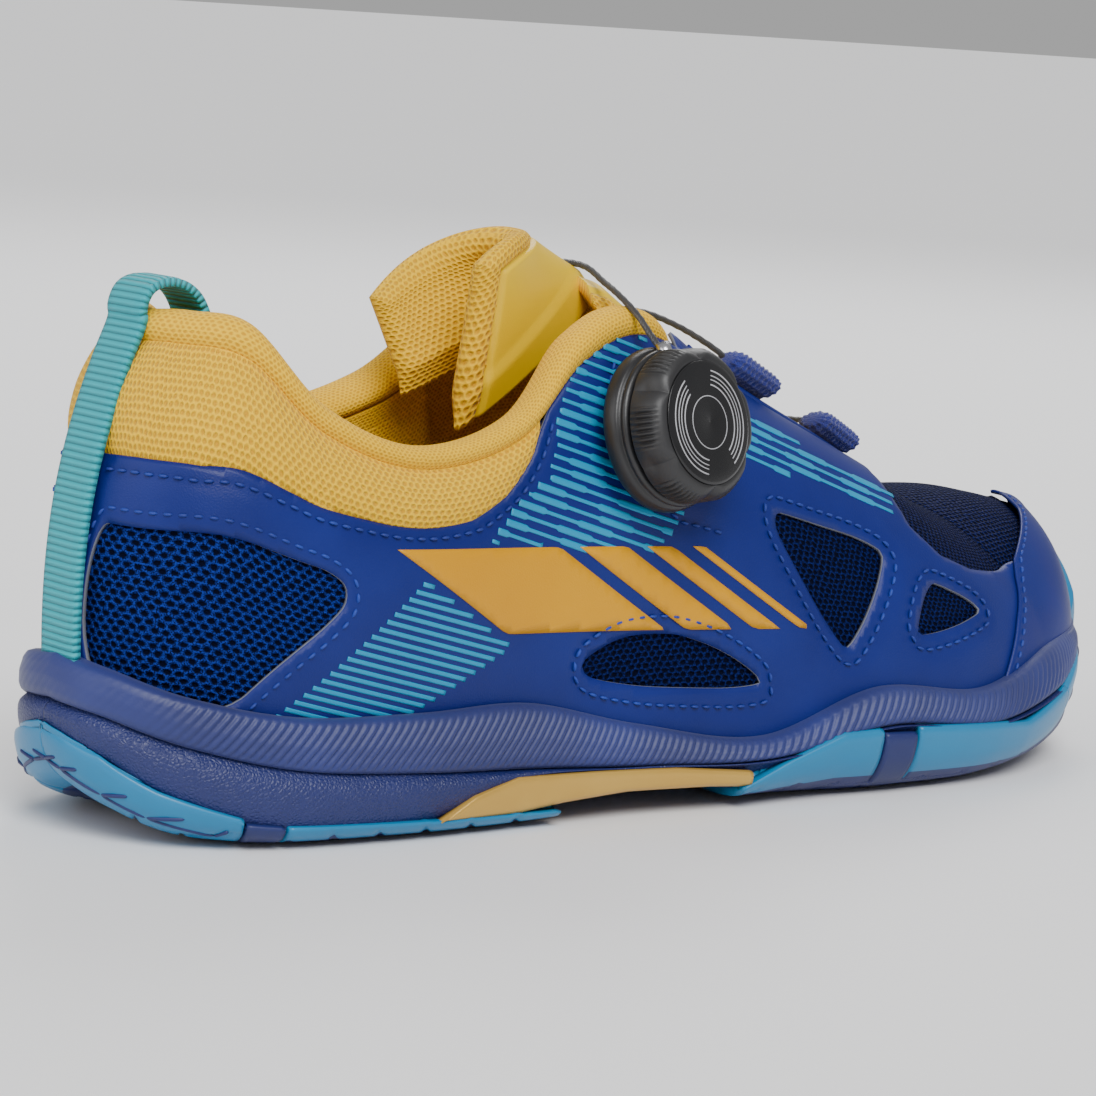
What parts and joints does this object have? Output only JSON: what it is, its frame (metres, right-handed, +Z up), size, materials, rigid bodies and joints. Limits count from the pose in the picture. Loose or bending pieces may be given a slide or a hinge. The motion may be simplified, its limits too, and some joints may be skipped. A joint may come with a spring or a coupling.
{
  "type": "court shoe",
  "caption": "Low-cut right court shoe with mesh upper, padded collar and tongue, cupped sole and a cable-winding dial closure.",
  "frame": {"origin": "on the ground under the middle of the whole shoe", "axes": "+X from heel to toe, +Y to the inner side of the foot, +Z up"},
  "size_m": [0.2778, 0.0996, 0.116],
  "materials": {
    "rubber_cyan": "satin moulded rubber",
    "rubber_navy": "satin moulded rubber",
    "plate_gold": "metallic gold plastic",
    "foam_navy": "matt moulded foam with ribs and grain",
    "cushion_foam": "soft foam",
    "board": "pressed fibre board",
    "knit_yellow": "coarse spacer knit",
    "stiffener": "thermoplastic sheet",
    "mesh_navy": "open double mesh",
    "film_blue": "satin bonded film with printed lines",
    "lining_fabric": "brushed lining",
    "webbing_turquoise": "ribbed webbing",
    "webbing_blue": "braided webbing",
    "cable_coat": "coated steel cable",
    "dial_plastic": "satin moulded nylon",
    "steel": "turned steel",
    "spool_plastic": "moulded nylon",
    "grip_rubber": "overmoulded rubber",
    "dial_face": "gloss face with grey rings"
  },
  "bodies": {
    "shoe": {"outsole_heel": "rubber_cyan", "outsole_heel_spacer": "rubber_navy", "outsole_heel_front": "rubber_cyan", "shank_plate": "plate_gold", "outsole_forefoot_rear": "rubber_cyan", "outsole_forefoot_spacer": "rubber_navy", "outsole_forefoot_front": "rubber_cyan", "toe_bumper": "rubber_cyan", "midsole": "foam_navy", "heel_cushion": "cushion_foam", "sidewall_band": "foam_navy", "insole_board": "board", "insole": "knit_yellow", "heel_counter": "stiffener", "toe_puff": "stiffener", "vamp_mesh": "mesh_navy", "quarter_lateral": "mesh_navy", "quarter_medial": "mesh_navy", "overlay_lateral": "film_blue", "overlay_medial": "film_blue", "toe_cap": "film_blue", "collar_panel": "knit_yellow", "collar_foam": "cushion_foam", "collar_roll": "knit_yellow", "collar_lining": "knit_yellow", "quarter_lining_lateral": "lining_fabric", "quarter_lining_medial": "lining_fabric", "vamp_lining": "lining_fabric", "eyestay_lateral": "film_blue", "eyestay_medial": "film_blue", "heel_pull_tab": "webbing_turquoise", "tongue_base": "knit_yellow", "lace_guides_lateral": "webbing_blue", "lace_guides_medial": "webbing_blue", "lace_cable": "cable_coat", "dial_base": "dial_plastic", "dial_post": "steel", "dial_spring": "steel"},
    "spool": {"dial_spool": "spool_plastic", "cable_winding": "cable_coat"},
    "knob_carrier": {"dial_sleeve": "steel"},
    "knob": {"dial_ratchet": "spool_plastic", "dial_knob": "dial_plastic", "dial_grip": "grip_rubber", "dial_cover": "dial_face"},
    "tongue_flap": {"tongue_top": "knit_yellow"}
  },
  "joints": [
    {"name": "knob_pull", "type": "slide", "parent": "shoe", "child": "knob_carrier", "axis": [0.135, -0.9609, 0.2419], "range_m": [0, 0.0025]},
    {"name": "knob_turn", "type": "hinge", "parent": "knob_carrier", "child": "knob", "pos_m": [-0.0201, -0.0328, 0.076], "axis": [0.135, -0.9609, 0.2419], "continuous": true},
    {"name": "spool_turn", "type": "hinge", "parent": "shoe", "child": "spool", "pos_m": [-0.0201, -0.0328, 0.076], "axis": [0.135, -0.9609, 0.2419], "continuous": true},
    {"name": "tongue_flex", "type": "hinge", "parent": "shoe", "child": "tongue_flap", "pos_m": [-0.0203, 0, 0.1036], "axis": [0, 1, 0], "range_deg": [-4, 28], "stiffness_Nm_per_rad": 0.08}
  ],
  "couplings": [
    {"joint": "spool_turn", "follows": "knob_turn", "ratio": 1}
  ]
}
